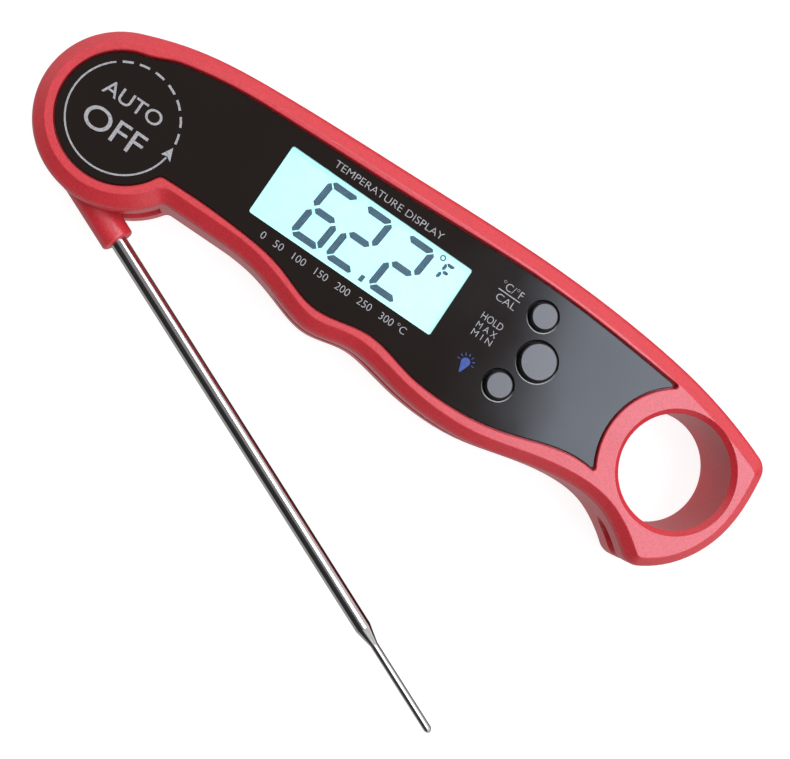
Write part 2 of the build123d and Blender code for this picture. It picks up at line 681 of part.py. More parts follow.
def pivot_seals():
    """O-rings in the slot's two faces."""
    inward = SEAL_R - SEAL_PROUD
    return [Pos(0, 0, z) * Torus(SEAL_RING_R, SEAL_R)
            for z in (SLOT_BOTTOM - inward, SLOT_TOP + inward)]


# Arm, drawn closed

def arm_lead_path():
    """From the sensor to the pivot's axis and up it."""
    y, z = -PROBE_OFFSET, SPLIT
    return [(BEAD_END - BEAD_LENGTH, y, z), (0, y, z), (0, 0, z), (0, 0, LEAD_JOIN)]


def probe_arm():
    """Round hub with the boss that holds the probe; the stop groove is in its underside."""
    hub = rod(HUB_R, HUB_BOTTOM, HUB_TOP)
    hub = fillet(circles(hub.edges(), HUB_R), HUB_RIM_ROUND)
    boss = bar(BOSS_R, 0, BOSS_END, -PROBE_OFFSET, SPLIT)
    boss = fillet(boss.edges().sort_by(Axis.X)[-1], BOSS_END_ROUND)
    arm = hub + boss
    arm -= rod(BUSH_R, HUB_BOTTOM, HUB_TOP)
    arm -= bar(TUBE_R, TUBE_START, BOSS_END, -PROBE_OFFSET, SPLIT)
    arm -= cable(arm_lead_path()[:3], [LEAD_BEND], CHANNEL_R)
    sweep_of_pin = SlotArc(CenterArc((0, 0), STOP_R, 0, ARM_TRAVEL), 2 * (STOP_PIN_R + STOP_GAP))
    arm -= slab(sweep_of_pin, HUB_BOTTOM, SLOT_BOTTOM + STOP_HEIGHT + STOP_GAP)
    return arm - rod(ARM_MAGNET_R, HUB_TOP - ARM_MAGNET_THICK, HUB_TOP, (MAGNET_AT_R, 0))


def pivot_bush():
    """Bearing bush in the hub, with a hole for the leads."""
    bush = pipe(BUSH_R, AXLE_R + FIT, HUB_BOTTOM, HUB_TOP)
    toward = Plane(origin=(0, 0, SPLIT), z_dir=(0, -1, 0))
    return bush - toward * Cylinder(CHANNEL_R, BUSH_R + 1, align=UP)


def probe_profile(outer_r, tip_r, start, end, nose):
    """Half outline of the stepped tube about its own line, rounded at the far end."""
    return [
        Line((start, 0), (start, outer_r)),
        Line((start, outer_r), (TAPER_START, outer_r)),
        Line((TAPER_START, outer_r), (TAPER_END, tip_r)),
        Line((TAPER_END, tip_r), (end - nose, tip_r)),
        Spline((end - nose, tip_r), (end - nose * 0.3, tip_r * 0.72), (end, 0)),
        Line((end, 0), (start, 0)),
    ]


def probe_solid(*sizes):
    profile = Face(Wire(probe_profile(*sizes)))
    return Pos(0, -PROBE_OFFSET, SPLIT) * revolve(profile, Axis.X)


def probe_tube():
    """Stainless tube with a stepped-down, closed tip."""
    outside = probe_solid(TUBE_R, TIP_R, TUBE_START, PROBE_END, NOSE)
    bore_end = PROBE_END - TIP_WALL
    bore = probe_solid(TUBE_R - TUBE_WALL, TIP_R - TUBE_WALL, TUBE_START, bore_end, BORE_NOSE)
    return outside - bore


def sensor_bead():
    return bar(BEAD_R, BEAD_END - BEAD_LENGTH, BEAD_END, -PROBE_OFFSET, SPLIT)


def sensor_leads():
    return cable(arm_lead_path(), [LEAD_BEND, LEAD_TURN], LEAD_R)


def arm_magnet():
    return rod(ARM_MAGNET_R, HUB_TOP - ARM_MAGNET_THICK, HUB_TOP - FIT, (MAGNET_AT_R, 0))


def board_leads():
    """From the top of the arm's leads across to the board."""
    x, y = LEAD_PAD
    points = [(0, 0, LEAD_JOIN), (0, 0, LEAD_Z), (x, y, LEAD_Z), (x, y, BOARD_TOP)]
    return cable(points, [LEAD_TURN, LEAD_BEND], LEAD_R)


def write(name, shape):
    """One STEP file for each node; a list is a group of separate solids."""
    if isinstance(shape, list):
        shape = Compound([solid for piece in shape for solid in piece.solids()])
    export_step(shape, f"parts/{name}.step")


os.makedirs("parts", exist_ok=True)

whole = handle_block()
fixed = {
    "front_shell": front_shell(whole),
    "rear_shell": rear_shell(whole),
    "housing_seal": gasket(),
    "housing_screws": housing_screws(),
    "face_plate": face_plate(),
    "face_plate_adhesive": plate_glue(),
    "display_window": display_window(),
    "lcd_glass": lcd_glass(),
    "backlight_panel": backlight_panel(),
    "backlight_led": led_block(),
    "lcd_frame": lcd_frame(),
    "zebra_strip": zebra_block(),
    "main_board": main_board(),
    "controller_chip": under_board(*CONTROLLER),
    "crystal": under_board(*CRYSTAL),
    "board_capacitors": board_capacitors(),
    "reed_switch": reed_switch(),
    "tact_switches": [tact_switch(at) for _, at, _ in BUTTONS],
    "button_seals": [button_seal(at, cap_r) for _, at, cap_r in BUTTONS],
    "board_screws": board_screws(),
    "battery": battery(),
    "battery_contact_negative": contact_negative(),
    "battery_contact_positive": contact_positive(),
    "battery_cover": battery_cover(),
    "battery_cover_seal": cover_seal(),
    "back_magnets": back_magnets(),
    "pivot_axle": pivot_axle(),
    "pivot_washers": pivot_washers(),
    "pivot_seals": pivot_seals(),
    "board_leads": board_leads(),
}
swinging = {
    "probe_arm": probe_arm(),
    "pivot_bush": pivot_bush(),
    "probe_tube": probe_tube(),
    "sensor_bead": sensor_bead(),
    "sensor_leads": sensor_leads(),
    "arm_magnet": arm_magnet(),
}
for name, shape in fixed.items():
    write(name, shape)
for name, shape in swinging.items():
    write(name, Rot(0, 0, -REST_OPENING) * shape)
for name, at, cap_r in BUTTONS:
    write(f"{name}_button", button_cap(at, cap_r))
    write(f"{name}_plunger", switch_plunger(at))
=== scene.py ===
from math import cos, pi, radians, sin

import bmesh
import bpy
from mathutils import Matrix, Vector


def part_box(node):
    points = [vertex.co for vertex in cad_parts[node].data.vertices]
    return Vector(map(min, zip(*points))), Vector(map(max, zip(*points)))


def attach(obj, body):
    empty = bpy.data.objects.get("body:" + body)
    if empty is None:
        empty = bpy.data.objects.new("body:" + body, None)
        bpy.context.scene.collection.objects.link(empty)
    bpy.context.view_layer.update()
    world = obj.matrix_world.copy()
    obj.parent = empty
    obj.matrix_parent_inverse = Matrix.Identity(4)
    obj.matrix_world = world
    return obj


# Looks of the folding probe thermometer. Prints and display marks are given in millimetres in the
# row frame: the origin is on the pivot's axis, +X runs to the ring, +Z leaves the face.

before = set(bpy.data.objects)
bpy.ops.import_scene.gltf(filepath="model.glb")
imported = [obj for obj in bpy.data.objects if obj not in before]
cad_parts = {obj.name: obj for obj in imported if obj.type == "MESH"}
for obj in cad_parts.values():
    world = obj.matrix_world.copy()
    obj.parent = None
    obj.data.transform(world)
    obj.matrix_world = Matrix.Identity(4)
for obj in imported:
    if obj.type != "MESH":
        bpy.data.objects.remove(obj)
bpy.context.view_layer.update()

MM = 0.001
PROBE_HEADING = -24.1          # degrees from +X to the probe, as it rests

# Camera
CAMERA_AT = (0.047424, -0.028390, 0.243094)
CAMERA_TURN = (-0.153, -7.508, 33.888)
CAMERA_LENS = 51.6
CAMERA_CLIP = (0.01, 20)

# Print on the face plate
PRINT_DEEP = 0.02
CIRCLE_R, CIRCLE_LINE, DASH_LINE = 11.0, 0.35, 0.45
SOLID_ARC = (130.6, 352.0)
DASH_STARTS = (8.4, 26.0, 43.5, 60.6, 78.5, 96.2, 113.3)
DASH_SPAN = 11.0
ARC_STEP = 3.0                 # degrees between the corners of an arc
ARROW_TIP, ARROW_NOTCH, ARROW_TAIL = 4.0, -6.5, -9.0    # degrees round the circle
ARROW_HALF = 1.15              # half the arrow's width
RAW_HALF = 0.5                 # half the depth that lettering has before it is fitted
WELD = 1e-7                    # corners closer than this are one, metres

# Display: three digits of seven segments, then a small one for the unit
MARK_LIFT = 0.05               # from the glass to the underside of its marks
DIGIT_BOTTOM, DIGIT_HEIGHT, DIGIT_WIDTH, DIGIT_LINE = 0.0, 13.8, 7.2, 1.45
DIGIT_SLANT = 0.093
DIGIT_GAP = 0.2
TIP_DEPTH = 0.35               # depth of a segment's outer tips, in parts of its line
MIDDLE_CLEAR, MIDDLE_INSET = 0.55, 0.6    # gaps round the middle segment, in parts of half its line
DIGITS = ((38.3, "acdefg"), (46.6, "abdeg"), (56.9, "abdeg"))
POINT_LEFT, POINT_SIDE = 55.0, 0.95
UNIT_LEFT, UNIT_BOTTOM, UNIT_HEIGHT, UNIT_WIDTH, UNIT_LINE = 66.7, 9.1, 4.2, 2.5, 0.72
UNIT_LIT = "aefg"
DEGREE_AT, DEGREE_R, DEGREE_LINE = (66.9, 13.5), 0.5, 0.28

# Legends: text, left, right, bottom, top, and what is added to the stroke in parts of the font's size
LEGENDS = {
    "print_auto": ("AUTO", -6.4, 6.3, 2.1, 5.1, 0.004),
    "print_off": ("OFF", -6.6, 6.2, -5.1, -0.4, 0.0),
    "print_heading": ("TEMPERATURE DISPLAY", 38.5, 64.5, 16.0, 17.5, -0.012),
    "print_scale": ("0   50   100   150   200   250   300 °C", 34.3, 68.8, -4.1, -2.5, -0.012),
    "print_unit": ("°C/°F", 79.8, 84.8, 15.3, 17.0, -0.012),
    "print_cal": ("CAL", 80.1, 84.7, 12.6, 14.1, -0.012),
    "print_hold": ("HOLD", 79.8, 84.8, 7.7, 9.2, -0.012),
    "print_max": ("M A X", 79.9, 84.6, 5.7, 7.0, -0.012),
    "print_min": ("M I N", 79.9, 84.6, 3.9, 5.2, -0.012),
}
RULE = (79.6, 84.9, 14.65, 14.85)       # left, right, bottom, top
LAMP_AT, LAMP_R = (82.3, -1.5), 0.95
LAMP_FOOT, LAMP_FOOT_HALF = 2.3, 0.14   # depth of the mark's foot below its centre, and half its width
BULB_ANGLES = range(-25, 206, 15)
RAY_IN, RAY_OUT, RAY_LINE = 1.35, 1.95, 0.16
RAY_ANGLES = range(0, 181, 30)

BUTTONS = ("unit_button", "hold_button", "light_button")
EDGE_LIT, EDGE_GAIN = 105.0, 1.5        # heading that the well bevels carrying the painted highlight face, and the highlight's gain
EDGE_REACH = 1.5                        # how far from a cap its well's bevel reaches

# Materials
NOISE_LOW, NOISE_HIGH = 0.3, 0.7        # between these lies nearly all of a noise
CAP_SIDE, CAP_TOP = 0.85, 0.98          # upward part of the normal where a cap turns from side to top, across which its painted reflection comes in


def material(name, colour, roughness, metallic=0.0, **sockets):
    """Principled material; underscores in socket names stand for spaces."""
    made = bpy.data.materials.new(name)
    made.use_nodes = True
    shader = made.node_tree.nodes["Principled BSDF"]
    shader.inputs["Base Color"].default_value = (*colour, 1.0)
    shader.inputs["Roughness"].default_value = roughness
    shader.inputs["Metallic"].default_value = metallic
    for socket, value in sockets.items():
        shader.inputs[socket.replace("_", " ")].default_value = value
    return made


def noise(made, scale, detail, stretch=(1, 1, 1), turn=0.0):
    """Noise over the object, about scale grains to the metre; turn is the heading of its stretch."""
    nodes, links = made.node_tree.nodes, made.node_tree.links
    place = nodes.new("ShaderNodeTexCoord")
    lay = nodes.new("ShaderNodeMapping")
    lay.vector_type = "TEXTURE"
    lay.inputs["Rotation"].default_value = (0, 0, radians(turn))
    lay.inputs["Scale"].default_value = stretch
    grain = nodes.new("ShaderNodeTexNoise")
    grain.inputs["Scale"].default_value = scale
    grain.inputs["Detail"].default_value = detail
    links.new(place.outputs["Object"], lay.inputs["Vector"])
    links.new(lay.outputs["Vector"], grain.inputs["Vector"])
    return grain.outputs["Fac"]


def tint(made, pattern, dark, light, low=0.35, high=0.65):
    """Base colour between two, by a pattern."""
    nodes, links = made.node_tree.nodes, made.node_tree.links
    ramp = nodes.new("ShaderNodeValToRGB")
    ramp.color_ramp.elements[0].position = low
    ramp.color_ramp.elements[0].color = (*dark, 1)
    ramp.color_ramp.elements[1].position = high
    ramp.color_ramp.elements[1].color = (*light, 1)
    links.new(pattern, ramp.inputs["Fac"])
    links.new(ramp.outputs["Color"], nodes["Principled BSDF"].inputs["Base Color"])


def roughen(made, pattern, low, high):
    """Roughness between two values, by a pattern."""
    nodes, links = made.node_tree.nodes, made.node_tree.links
    span = nodes.new("ShaderNodeMapRange")
    span.inputs["From Min"].default_value = NOISE_LOW
    span.inputs["From Max"].default_value = NOISE_HIGH
    span.inputs["To Min"].default_value = low
    span.inputs["To Max"].default_value = high
    links.new(pattern, span.inputs["Value"])
    links.new(span.outputs["Result"], nodes["Principled BSDF"].inputs["Roughness"])


def emboss(made, pattern, depth, strength=1.0):
    """Raises the surface by a pattern, depth in millimetres."""
    nodes, links = made.node_tree.nodes, made.node_tree.links
    bump = nodes.new("ShaderNodeBump")
    bump.inputs["Distance"].default_value = depth * MM
    bump.inputs["Strength"].default_value = strength
    links.new(pattern, bump.inputs["Height"])
    links.new(bump.outputs["Normal"], nodes["Principled BSDF"].inputs["Normal"])


def shade(colour, factor):
    """A colour made darker or lighter."""
    return tuple(min(1.0, c * factor) for c in colour)


def moulded(name, colour, roughness, grain=2600, depth=0.02, **sockets):
    """Moulded plastic: spark-eroded grain, faint flow marks in colour and gloss."""
    made = material(name, colour, roughness, **sockets)
    tint(made, noise(made, scale=90, detail=3), shade(colour, 0.93), shade(colour, 1.05))
    roughen(made, noise(made, scale=140, detail=4), roughness - 0.05, roughness + 0.06)
    emboss(made, noise(made, grain, detail=1), depth)
    return made


def metal(name, colour, roughness, grain=4000, stretch=(1, 1, 1), turn=0.0, depth=0.002):
    """Metal with marks of its finishing that run along the stretch."""
    made = material(name, colour, roughness, metallic=1.0)
    marks = noise(made, grain, detail=3, stretch=stretch, turn=turn)
    tint(made, noise(made, scale=120, detail=3), shade(colour, 0.92), shade(colour, 1.05))
    roughen(made, marks, roughness * 0.75, roughness * 1.35)
    emboss(made, marks, depth)
    return made


def red_plastic():
    """Satin red of the shells: fine sparkling grain and slightly uneven colour."""
    red = (0.54, 0.026, 0.036)
    made = material("red_satin", red, 0.34, Specular_IOR_Level=0.78)
    sparkle = noise(made, scale=2600, detail=2)
    tint(made, sparkle, shade(red, 0.84), shade(red, 1.16), low=0.3, high=0.7)
    roughen(made, noise(made, scale=60, detail=4), low=0.31, high=0.37)
    emboss(made, noise(made, scale=2600, detail=1), depth=0.03, strength=0.8)
    return made


def gloss_black():
    """Polished face plate, with the faint haze that handling leaves and a painted highlight on the bevels
    of its wells that face EDGE_LIT.
    """
    black = (0.006, 0.002, 0.0008)
    made = material("plate_gloss", black, 0.14, IOR=1.5)
    # painted highlight: pale grey on the well bevels that face EDGE_LIT, black elsewhere
    tint(made, painted_well_highlight(made), black, (0.75, 0.75, 0.74), low=0.0, high=1.0)
    roughen(made, noise(made, scale=70, detail=5), low=0.11, high=0.16)
    emboss(made, noise(made, scale=45, detail=1), depth=0.01, strength=0.35)
    return made


def maths(owner, operation, first, second):
    """Number from nought to one made from two others, each a socket or a plain value."""
    node = owner.node_tree.nodes.new("ShaderNodeMath")
    node.operation = operation
    node.use_clamp = True
    for socket, given in zip(node.inputs, (first, second)):
        if isinstance(given, bpy.types.NodeSocket):
            owner.node_tree.links.new(given, socket)
        else:
            socket.default_value = given
    return node.outputs["Value"]


def measure(owner, operation, first, second):
    """Number made from a vector socket and a plain vector."""
    node = owner.node_tree.nodes.new("ShaderNodeVectorMath")
    node.operation = operation
    node.inputs[1].default_value = second
    owner.node_tree.links.new(first, node.inputs[0])
    return node.outputs["Value"]


def facing(owner, direction, heading):
    """How squarely a direction looks along a heading in degrees: one along it, nought across it."""
    return measure(owner, "DOT_PRODUCT", direction, (*polar(1, heading), 0))


def painted_well_highlight(made):
    """Mask of a painted highlight: above nought on the bevels of the button wells that face EDGE_LIT,
    nought elsewhere.
    """
    surface = made.node_tree.nodes.new("ShaderNodeNewGeometry")
    place = made.node_tree.nodes.new("ShaderNodeTexCoord")
    toward = facing(made, surface.outputs["Normal"], EDGE_LIT)
    near = 0.0
    for name in BUTTONS:
        low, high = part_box(name)
        away = measure(made, "DISTANCE", place.outputs["Object"], (low + high) / 2)
        reach = (high.x - low.x) / 2 + EDGE_REACH * MM
        within = maths(made, "LESS_THAN", away, reach)
        near = maths(made, "MAXIMUM", near, within)
    lit = maths(made, "MULTIPLY", toward, EDGE_GAIN)
    return maths(made, "MULTIPLY", near, lit)


def silver_print():
    """Screen-printed ink with a slightly broken film."""
    made = material("print_silver", (0.36, 0.35, 0.36), 0.5, metallic=0.2)
    tint(made, noise(made, scale=3000, detail=2), (0.27, 0.26, 0.27), (0.40, 0.39, 0.40))
    emboss(made, noise(made, scale=4000, detail=2), depth=0.01)
    return made


def blue_print():
    """Blue ink of the lamp mark."""
    made = material("print_blue", (0.02, 0.055, 0.27), 0.5)
    tint(made, noise(made, scale=3000, detail=2), (0.014, 0.04, 0.22), (0.026, 0.07, 0.32))
    emboss(made, noise(made, scale=4000, detail=2), depth=0.01)
    return made


def lit_display():
    """Display glass over the backlight, whiter towards the lamp beside its right end."""
    made = material("display_lit", (0.35, 0.5, 0.5), 0.25, Emission_Strength=0.8)
    nodes, links = made.node_tree.nodes, made.node_tree.links
    low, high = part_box("display_window")
    place = nodes.new("ShaderNodeTexCoord")
    along = nodes.new("ShaderNodeSeparateXYZ")
    span = nodes.new("ShaderNodeMapRange")
    span.inputs["From Min"].default_value = low.x
    span.inputs["From Max"].default_value = high.x
    glow = nodes.new("ShaderNodeValToRGB")
    glow.color_ramp.elements[0].color = (0.355, 0.94, 0.91, 1)
    glow.color_ramp.elements[1].color = (0.46, 0.95, 0.94, 1)
    links.new(place.outputs["Object"], along.inputs["Vector"])
    links.new(along.outputs["X"], span.inputs["Value"])
    links.new(span.outputs["Result"], glow.inputs["Fac"])
    links.new(glow.outputs["Color"], nodes["Principled BSDF"].inputs["Emission Color"])
    tint(made, noise(made, scale=500, detail=2), (0.33, 0.48, 0.48), (0.37, 0.52, 0.52))
    return made


def segment_ink():
    """Dark state of the liquid crystal, grainy against the light."""
    made = material("display_segment", (0.004, 0.07, 0.13), 0.4)
    tint(made, noise(made, scale=1200, detail=2), (0.002, 0.062, 0.118), (0.006, 0.078, 0.142))
    return made


def clear_window():
    """Clear plastic pane with a trace of haze."""
    made = material("window_pane", (0.97, 1.0, 1.0), 0.0, Transmission_Weight=1.0, IOR=1.3)
    roughen(made, noise(made, scale=60, detail=3), low=0.0, high=0.03)
    return made


def button_plastic():
    """Black button caps whose tops carry a painted reflection of the light above in grey, their sides
    black.
    """
    made = material("button_cap", (0.02, 0.02, 0.022), 0.3)
    nodes, links = made.node_tree.nodes, made.node_tree.links
    surface = nodes.new("ShaderNodeNewGeometry")
    upward = nodes.new("ShaderNodeSeparateXYZ")
    span = nodes.new("ShaderNodeMapRange")
    span.inputs["From Min"].default_value = CAP_SIDE
    span.inputs["From Max"].default_value = CAP_TOP
    links.new(surface.outputs["Normal"], upward.inputs["Vector"])
    links.new(upward.outputs["Z"], span.inputs["Value"])
    # painted reflection: grey on the tops, black on the sides, by how far the normal points up
    side, top = (0.010, 0.010, 0.011), (0.121, 0.121, 0.130)
    tint(made, span.outputs["Result"], side, top, low=0.0, high=1.0)
    roughen(made, noise(made, scale=300, detail=3), low=0.26, high=0.34)
    emboss(made, noise(made, scale=3000, detail=1), depth=0.01)
    return made


def dress(finish, *nodes):
    """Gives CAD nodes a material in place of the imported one."""
    for node in nodes:
        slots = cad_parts[node].data.materials
        slots.clear()
        slots.append(finish)


# Flat marks

def place_mark(mesh, finish, body="handle"):
    """Puts a finished mesh in the scene, riding on a body."""
    mark = bpy.data.objects.new(mesh.name, mesh)
    bpy.context.scene.collection.objects.link(mark)
    mesh.materials.clear()
    mesh.materials.append(finish)
    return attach(mark, body)


def flat_mark(name, outlines, bottom, finish):
    """Thin film with the given outlines, millimetres, its underside at a height in metres."""
    mesh = bpy.data.meshes.new(name)
    film = bmesh.new()
    for outline in outlines:
        film.faces.new([film.verts.new((x * MM, y * MM, bottom)) for x, y in outline])
    bmesh.ops.remove_doubles(film, verts=film.verts, dist=WELD)
    lifted = bmesh.ops.extrude_face_region(film, geom=film.faces[:])["geom"]
    for vertex in lifted:
        if isinstance(vertex, bmesh.types.BMVert):
            vertex.co.z += PRINT_DEEP * MM
    bmesh.ops.recalc_face_normals(film, faces=film.faces)
    film.to_mesh(mesh)
    film.free()
    return place_mark(mesh, finish)


def polar(radius, angle, about=(0, 0)):
    """Point at a radius and an angle in degrees about a centre."""
    return (about[0] + radius * cos(radians(angle)), about[1] + radius * sin(radians(angle)))


def arc_band(radius, line, start, end, about=(0, 0)):
    """Outlines that together make an arc of some line width."""
    steps = max(1, round((end - start) / ARC_STEP))
    angles = [start + (end - start) * i / steps for i in range(steps + 1)]
    inner, outer = radius - line / 2, radius + line / 2
    return [
        [polar(inner, a, about), polar(outer, a, about), polar(outer, b, about), polar(inner, b, about)]
        for a, b in zip(angles, angles[1:])
    ]


def bar(start, end, line):
    """Outline of a straight line of some width."""
    along = Vector(end) - Vector(start)
    side = Vector((-along.y, along.x)).normalized() * line / 2
    corners = (Vector(start) - side, Vector(end) - side, Vector(end) + side, Vector(start) + side)
    return [tuple(corner) for corner in corners]


def legend(name, text, left, right, bottom, top, stroke, height, finish):
    """Lettering fitted to a box in millimetres, its underside at a height in metres."""
    curve = bpy.data.curves.new(name, "FONT")
    curve.body = text
    curve.offset = stroke
    curve.extrude = RAW_HALF
    writing = bpy.data.objects.new(name, curve)
    mesh = bpy.data.meshes.new_from_object(writing)
    mesh.name = name
    bpy.data.objects.remove(writing)
    xs = [v.co.x for v in mesh.vertices]
    ys = [v.co.y for v in mesh.vertices]
    for vertex in mesh.vertices:
        across = (vertex.co.x - min(xs)) / (max(xs) - min(xs))
        up = (vertex.co.y - min(ys)) / (max(ys) - min(ys))
        lift = (vertex.co.z + RAW_HALF) * PRINT_DEEP
        vertex.co = (
            (left + (right - left) * across) * MM,
            (bottom + (top - bottom) * up) * MM,
            height + lift * MM,
        )
    return place_mark(mesh, finish)


def face_prints():
    """Everything printed on the face plate."""
    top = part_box("face_plate")[1].z
    silver, blue = silver_print(), blue_print()
    for name, (text, left, right, bottom, high, stroke) in LEGENDS.items():
        legend(name, text, left, right, bottom, high, stroke, top, silver)
    left, right, bottom, high = RULE
    flat_mark("print_rule", [[(left, bottom), (right, bottom), (right, high), (left, high)]], top, silver)
    flat_mark("print_circle", arc_band(CIRCLE_R, CIRCLE_LINE, *SOLID_ARC), top, silver)
    for i, start in enumerate(DASH_STARTS):
        dash = arc_band(CIRCLE_R, DASH_LINE, start, start + DASH_SPAN)
        flat_mark(f"print_dash_{i + 1}", dash, top, silver)
    tip, notch = polar(CIRCLE_R, ARROW_TIP), polar(CIRCLE_R, ARROW_NOTCH)
    tails = [polar(CIRCLE_R + side * ARROW_HALF, ARROW_TAIL) for side in (-1, 1)]
    flat_mark("print_arrow", [[tip, tails[0], notch], [tip, notch, tails[1]]], top, silver)
    flat_mark("print_lamp", lamp_outlines(), top, blue)


def lamp_outlines():
    """Lamp mark: a round bulb that narrows to its foot, with rays about its top."""
    bulb = [polar(LAMP_R, a, LAMP_AT) for a in BULB_ANGLES]
    foot = LAMP_AT[1] - LAMP_FOOT
    bulb += [(LAMP_AT[0] - LAMP_FOOT_HALF, foot), (LAMP_AT[0] + LAMP_FOOT_HALF, foot)]
    rays = [bar(polar(RAY_IN, a, LAMP_AT), polar(RAY_OUT, a, LAMP_AT), RAY_LINE) for a in RAY_ANGLES]
    return [bulb, *rays]


# Display marks

def segment(start, along, inward, length, line, near, far):
    """Outline of one display segment: a mitred bar, its two tips near and far in from its outer edge."""
    shape = [
        (0.0, near), (near, 0.0), (length - far, 0.0),
        (length, far), (length - line + far, line), (line - near, line),
    ]
    return [
        (start[0] + along[0] * u + inward[0] * v, start[1] + along[1] * u + inward[1] * v)
        for u, v in shape
    ]


def digit(left, bottom, width, height, line, lit):
    """Outlines of the lit segments of one digit, a at its top and then clockwise, g in its middle."""
    tip, half = line * TIP_DEPTH, line / 2
    clear = tip + DIGIT_GAP * line / DIGIT_LINE
    middle = height / 2
    reach = middle - clear - half * MIDDLE_CLEAR
    wide = width - 2 * clear
    right, left_in, down, up = (1, 0), (-1, 0), (0, -1), (0, 1)
    inset = clear + half * MIDDLE_INSET
    segments = {
        "a": ((clear, height), right, down, wide, tip, tip),
        "b": ((width, height - clear), down, left_in, reach, tip, half),
        "c": ((width, clear), up, left_in, reach, tip, half),
        "d": ((clear, 0), right, up, wide, tip, tip),
        "e": ((0, clear), up, right, reach, tip, half),
        "f": ((0, height - clear), down, right, reach, tip, half),
        "g": ((inset, middle + half), right, down, width - 2 * inset, half, half),
    }
    outlines = []
    for name in lit:
        start, along, inward, length, near, far = segments[name]
        flat = segment(start, along, inward, length, line, near, far)
        outlines.append([(left + x + DIGIT_SLANT * (bottom + y), bottom + y) for x, y in flat])
    return outlines


def display_marks():
    """Dark parts of the display, just above its glass."""
    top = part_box("lcd_glass")[1].z + MARK_LIFT * MM
    ink = segment_ink()
    for i, (left, lit) in enumerate(DIGITS):
        outlines = digit(left, DIGIT_BOTTOM, DIGIT_WIDTH, DIGIT_HEIGHT, DIGIT_LINE, lit)
        flat_mark(f"display_digit_{i + 1}", outlines, top, ink)
    point = [(0, 0), (POINT_SIDE, 0), (POINT_SIDE, DIGIT_LINE), (0, DIGIT_LINE)]
    point = [(POINT_LEFT + x + DIGIT_SLANT * y, DIGIT_BOTTOM + y) for x, y in point]
    flat_mark("display_point", [point], top, ink)
    unit = digit(UNIT_LEFT, UNIT_BOTTOM, UNIT_WIDTH, UNIT_HEIGHT, UNIT_LINE, UNIT_LIT)
    unit += arc_band(DEGREE_R, DEGREE_LINE, 0, 360, DEGREE_AT)
    flat_mark("display_unit", unit, top, ink)


# Dressing of the CAD nodes

def dress_outside():
    """Materials of everything that shows."""
    red = red_plastic()
    dress(red, "front_shell", "rear_shell", "probe_arm", "battery_cover")
    dress(gloss_black(), "face_plate")
    dress(clear_window(), "display_window")
    dress(lit_display(), "lcd_glass")
    dress(button_plastic(), *BUTTONS)
    steel = (0.70, 0.68, 0.66)
    polish = {"grain": 2500, "stretch": (40, 1, 1), "turn": PROBE_HEADING, "depth": 0.001}
    dress(metal("probe_polish", steel, 0.10, **polish), "probe_tube")
    dress(metal("magnet_nickel", (0.66, 0.63, 0.58), 0.22), "back_magnets", "arm_magnet")
    dress(metal("screw_plate", (0.55, 0.55, 0.56), 0.3), "housing_screws", "board_screws")
    rubber = moulded("seal_rubber", (0.02, 0.02, 0.02), 0.75, grain=1800)
    dress(rubber, "housing_seal", "button_seals", "battery_cover_seal", "pivot_seals")


def dress_inside():
    """Materials of the pieces inside the handle."""
    foam = moulded("adhesive_foam", (0.05, 0.05, 0.05), 0.85, grain=1200, depth=0.04)
    dress(foam, "face_plate_adhesive")
    dress(moulded("backlight_diffuser", (0.80, 0.86, 0.88), 0.35), "backlight_panel")
    dress(moulded("led_package", (0.85, 0.80, 0.55), 0.4), "backlight_led")
    white = moulded("frame_white", (0.72, 0.72, 0.69), 0.5)
    dress(white, "lcd_frame", "pivot_bush")
    dress(moulded("zebra_rubber", (0.55, 0.30, 0.33), 0.8), "zebra_strip")
    dress(moulded("solder_mask", (0.012, 0.13, 0.045), 0.3, grain=900, depth=0.03), "main_board")
    black = moulded("black_resin", (0.018, 0.018, 0.018), 0.5)
    dress(black, "controller_chip", "tact_switches", "sensor_bead")
    dress(black, "unit_plunger", "hold_plunger", "light_plunger", "board_leads", "sensor_leads")
    dress(moulded("capacitor_ceramic", (0.33, 0.22, 0.12), 0.6), "board_capacitors")
    dress(moulded("reed_glass", (0.35, 0.5, 0.4), 0.1, Transmission_Weight=0.7), "reed_switch")
    dress(metal("drawn_can", (0.62, 0.62, 0.60), 0.25), "crystal")
    dress(metal("cell_brushed", (0.66, 0.66, 0.65), 0.28, grain=1500, stretch=(30, 1, 1)), "battery")
    spring = metal("contact_spring", (0.70, 0.66, 0.56), 0.25)
    dress(spring, "battery_contact_negative", "battery_contact_positive", "pivot_washers")
    dress(metal("axle_brass", (0.66, 0.44, 0.16), 0.25), "pivot_axle")


# Studio

SOFTBOX_HIGH = 1.2
SOFTBOX_EDGE = (0.36, 0.18)    # point on its near edge
SOFTBOX_TURN = 20.2            # heading away from that edge, degrees from +X
SOFTBOX_DEEP, SOFTBOX_LONG, SOFTBOX_SHIFT = 0.6, 1.8, 0.35
SOFTBOX_GLOW, SOFTBOX_COLOUR = 5.3, (0.75, 0.85, 1.0)
FILL_HIGH, FILL_SIDE, FILL_GLOW, FILL_COLOUR = 1.5, 2.4, 1.32, (1.0, 0.98, 0.95)
FLOOR_SIDE, FLOOR_DROP, FLOOR_GLOW = 6, 0.05, 0.88      # metres, millimetres below the back, brightness
SURROUND = ((0.0, 0.42), (0.02, 0.85), (0.88, 0.60), (0.95, 0.30))     # height and brightness
SURROUND_GREEN = 0.99          # green of the surround, in parts of its red and blue
CARD_HEADING = -114.1          # from the pivot to the dark card, square to the probe
CARD_AWAY, CARD_HIGH, CARD_LONG = 0.5, 1.5, 2.0
SHADE_HEADING = 65.9           # side on which the lower surround is dark, square to the probe
SHADE_EDGE = 0.6               # how squarely a direction looks to that side where the dark begins
SHADE_TOP = -0.1               # height of the dark's upper edge, a little below the horizon


